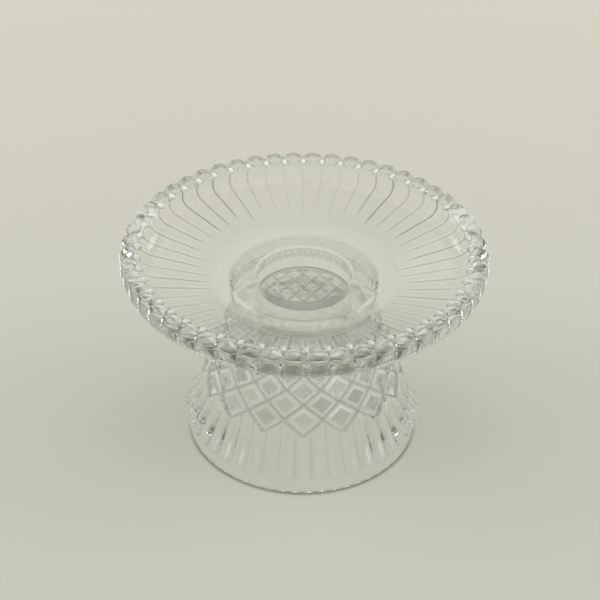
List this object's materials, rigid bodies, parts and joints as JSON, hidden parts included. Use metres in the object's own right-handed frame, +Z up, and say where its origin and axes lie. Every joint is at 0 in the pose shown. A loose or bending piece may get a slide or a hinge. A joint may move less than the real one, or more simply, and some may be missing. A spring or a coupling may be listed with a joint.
{
  "type": "floating candle bowl",
  "caption": "Clear glass candle bowl that works either way up: wide beaded dish with a tealight well on a fluted, diamond-cut bell that is a small bowl when turned over.",
  "frame": {"origin": "middle of the foot ring, on the surface that the piece stands on", "axes": "+Z up along the axis of the dish, the well and the bell; a valley between two rim beads lies on +X"},
  "size_m": [0.152, 0.152, 0.0934],
  "materials": {
    "clear_glass": "fire-polished pressed glass",
    "clear_adhesive": "clear cured adhesive"
  },
  "bodies": {
    "root": {"candle_dish": "clear_glass", "waist_bond": "clear_adhesive", "bell_bowl": "clear_glass"}
  },
  "joints": []
}
